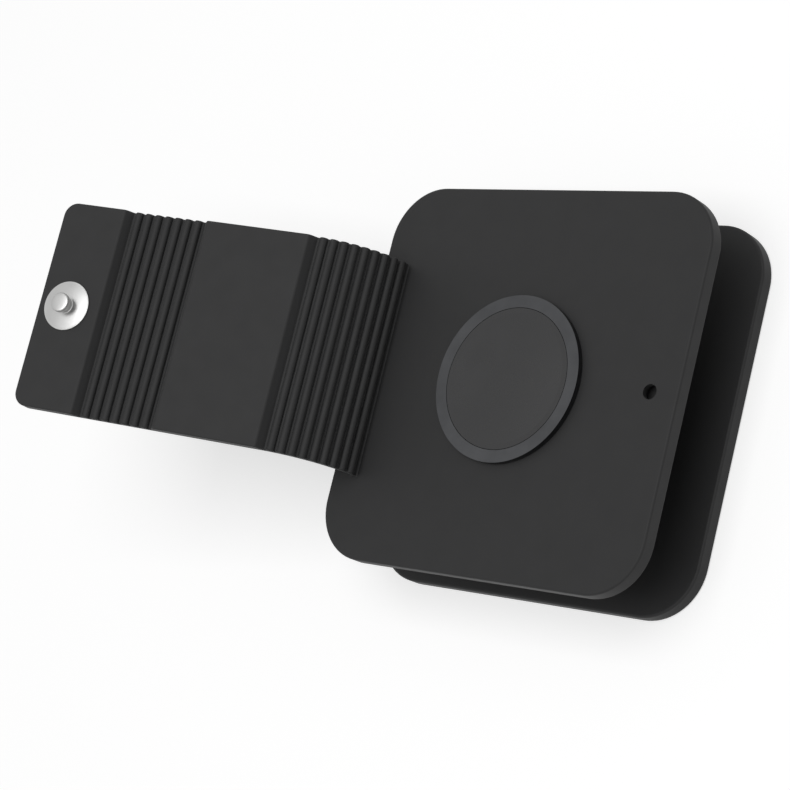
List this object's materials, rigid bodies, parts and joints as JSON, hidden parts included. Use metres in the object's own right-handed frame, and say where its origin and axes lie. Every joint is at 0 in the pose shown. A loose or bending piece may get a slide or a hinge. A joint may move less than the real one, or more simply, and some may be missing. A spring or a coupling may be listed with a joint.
{
  "type": "smartwatch charging dock",
  "caption": "Square dock for a smartwatch: plates on a round cord spool, a charging pad let into the face, and a ribbed flap strap that folds over and snaps shut.",
  "frame": {"origin": "centre of the rear plate's back face, on which the dock lies", "axes": "+X from the strap's root towards the stud hole, +Y along the strap's folds, +Z out of the front face"},
  "size_m": [0.1293, 0.072, 0.054],
  "materials": {
    "silicone": "matte, finely grained",
    "drum_plastic": "satin",
    "pad_metal": "dark anodised satin",
    "pad_cap": "smooth satin",
    "stud_steel": "polished",
    "plated_steel": "nickel plated",
    "copper": "enamelled wire",
    "ferrite": "pressed",
    "board": "solder mask",
    "black_moulding": "moulded"
  },
  "bodies": {
    "dock": {"front_plate": "silicone", "rear_plate": "silicone", "spool_drum": "drum_plastic", "rear_screws": "plated_steel", "charger_shell": "pad_metal", "charger_cap": "pad_cap", "charger_ring_nut": "pad_metal", "coil_carrier": "drum_plastic", "charging_coil": "copper", "ferrite_disc": "ferrite", "centring_magnet": "plated_steel", "coil_leads": "copper", "circuit_board": "board", "board_chips": "black_moulding", "power_socket": "plated_steel", "socket_tongue": "black_moulding"},
    "inner_rib_1": {"inner_rib_1": "silicone"},
    "inner_rib_2": {"inner_rib_2": "silicone"},
    "inner_rib_3": {"inner_rib_3": "silicone"},
    "inner_rib_4": {"inner_rib_4": "silicone"},
    "inner_rib_5": {"inner_rib_5": "silicone"},
    "inner_rib_6": {"inner_rib_6": "silicone"},
    "inner_rib_7": {"inner_rib_7": "silicone"},
    "inner_rib_8": {"inner_rib_8": "silicone"},
    "inner_rib_9": {"inner_rib_9": "silicone"},
    "strap_middle_panel": {"strap_middle_panel": "silicone"},
    "outer_rib_1": {"outer_rib_1": "silicone"},
    "outer_rib_2": {"outer_rib_2": "silicone"},
    "outer_rib_3": {"outer_rib_3": "silicone"},
    "outer_rib_4": {"outer_rib_4": "silicone"},
    "outer_rib_5": {"outer_rib_5": "silicone"},
    "outer_rib_6": {"outer_rib_6": "silicone"},
    "outer_rib_7": {"outer_rib_7": "silicone"},
    "strap_end_panel": {"strap_end_panel": "silicone", "snap_stud": "stud_steel", "stud_rivet": "stud_steel"}
  },
  "joints": [
    {"name": "inner_fold_1", "type": "hinge", "parent": "dock", "child": "inner_rib_1", "pos_m": [-0.03067, 0, 0.0214], "axis": [0, 1, 0], "range_deg": [-3, 16.8], "stiffness_Nm_per_rad": 0.03, "springref_deg": 4.79},
    {"name": "inner_fold_2", "type": "hinge", "parent": "inner_rib_1", "child": "inner_rib_2", "pos_m": [-0.03086, 0, 0.02334], "axis": [0, 1, 0], "range_deg": [-3, 16.8], "stiffness_Nm_per_rad": 0.03, "springref_deg": 4.77},
    {"name": "inner_fold_3", "type": "hinge", "parent": "inner_rib_2", "child": "inner_rib_3", "pos_m": [-0.0313, 0, 0.02524], "axis": [0, 1, 0], "range_deg": [-3, 16.8], "stiffness_Nm_per_rad": 0.03, "springref_deg": 4.7},
    {"name": "inner_fold_4", "type": "hinge", "parent": "inner_rib_3", "child": "inner_rib_4", "pos_m": [-0.03199, 0, 0.02706], "axis": [0, 1, 0], "range_deg": [-3, 16.8], "stiffness_Nm_per_rad": 0.03, "springref_deg": 4.6},
    {"name": "inner_fold_5", "type": "hinge", "parent": "inner_rib_4", "child": "inner_rib_5", "pos_m": [-0.03291, 0, 0.02878], "axis": [0, 1, 0], "range_deg": [-3, 16.8], "stiffness_Nm_per_rad": 0.03, "springref_deg": 4.48},
    {"name": "inner_fold_6", "type": "hinge", "parent": "inner_rib_5", "child": "inner_rib_6", "pos_m": [-0.03405, 0, 0.03037], "axis": [0, 1, 0], "range_deg": [-3, 16.8], "stiffness_Nm_per_rad": 0.03, "springref_deg": 4.32},
    {"name": "inner_fold_7", "type": "hinge", "parent": "inner_rib_6", "child": "inner_rib_7", "pos_m": [-0.03538, 0, 0.03178], "axis": [0, 1, 0], "range_deg": [-3, 16.8], "stiffness_Nm_per_rad": 0.03, "springref_deg": 4.14},
    {"name": "inner_fold_8", "type": "hinge", "parent": "inner_rib_7", "child": "inner_rib_8", "pos_m": [-0.0369, 0, 0.03302], "axis": [0, 1, 0], "range_deg": [-3, 16.8], "stiffness_Nm_per_rad": 0.03, "springref_deg": 3.94},
    {"name": "inner_fold_9", "type": "hinge", "parent": "inner_rib_8", "child": "inner_rib_9", "pos_m": [-0.03856, 0, 0.03404], "axis": [0, 1, 0], "range_deg": [-3, 16.8], "stiffness_Nm_per_rad": 0.03, "springref_deg": 3.73},
    {"name": "inner_fold_10", "type": "hinge", "parent": "inner_rib_9", "child": "strap_middle_panel", "pos_m": [-0.04034, 0, 0.03483], "axis": [0, 1, 0], "range_deg": [-3, 16.8], "stiffness_Nm_per_rad": 0.03, "springref_deg": 3.5},
    {"name": "outer_fold_1", "type": "hinge", "parent": "strap_middle_panel", "child": "outer_rib_1", "pos_m": [-0.06412, 0, 0.04188], "axis": [0, 1, 0], "range_deg": [-3, 5.4], "stiffness_Nm_per_rad": 0.03, "springref_deg": 1.21},
    {"name": "outer_fold_2", "type": "hinge", "parent": "outer_rib_1", "child": "outer_rib_2", "pos_m": [-0.06623, 0, 0.0425], "axis": [0, 1, 0], "range_deg": [-3, 5.4], "stiffness_Nm_per_rad": 0.03, "springref_deg": 1.07},
    {"name": "outer_fold_3", "type": "hinge", "parent": "outer_rib_2", "child": "outer_rib_3", "pos_m": [-0.06834, 0, 0.04313], "axis": [0, 1, 0], "range_deg": [-3, 5.4], "stiffness_Nm_per_rad": 0.03, "springref_deg": 0.94},
    {"name": "outer_fold_4", "type": "hinge", "parent": "outer_rib_3", "child": "outer_rib_4", "pos_m": [-0.07045, 0, 0.04375], "axis": [0, 1, 0], "range_deg": [-3, 5.4], "stiffness_Nm_per_rad": 0.03, "springref_deg": 0.81},
    {"name": "outer_fold_5", "type": "hinge", "parent": "outer_rib_4", "child": "outer_rib_5", "pos_m": [-0.07256, 0, 0.04438], "axis": [0, -1, 0], "range_deg": [-3.65, 6.55], "stiffness_Nm_per_rad": 0.03, "springref_deg": -0.69},
    {"name": "outer_fold_6", "type": "hinge", "parent": "outer_rib_5", "child": "outer_rib_6", "pos_m": [-0.07466, 0, 0.045], "axis": [0, -1, 0], "range_deg": [-3.65, 6.55], "stiffness_Nm_per_rad": 0.03, "springref_deg": -0.57},
    {"name": "outer_fold_7", "type": "hinge", "parent": "outer_rib_6", "child": "outer_rib_7", "pos_m": [-0.07677, 0, 0.04562], "axis": [0, -1, 0], "range_deg": [-3.65, 6.55], "stiffness_Nm_per_rad": 0.03, "springref_deg": -0.46},
    {"name": "outer_fold_8", "type": "hinge", "parent": "outer_rib_7", "child": "strap_end_panel", "pos_m": [-0.07888, 0, 0.04625], "axis": [0, -1, 0], "range_deg": [-3.65, 6.55], "stiffness_Nm_per_rad": 0.03, "springref_deg": -0.36}
  ]
}
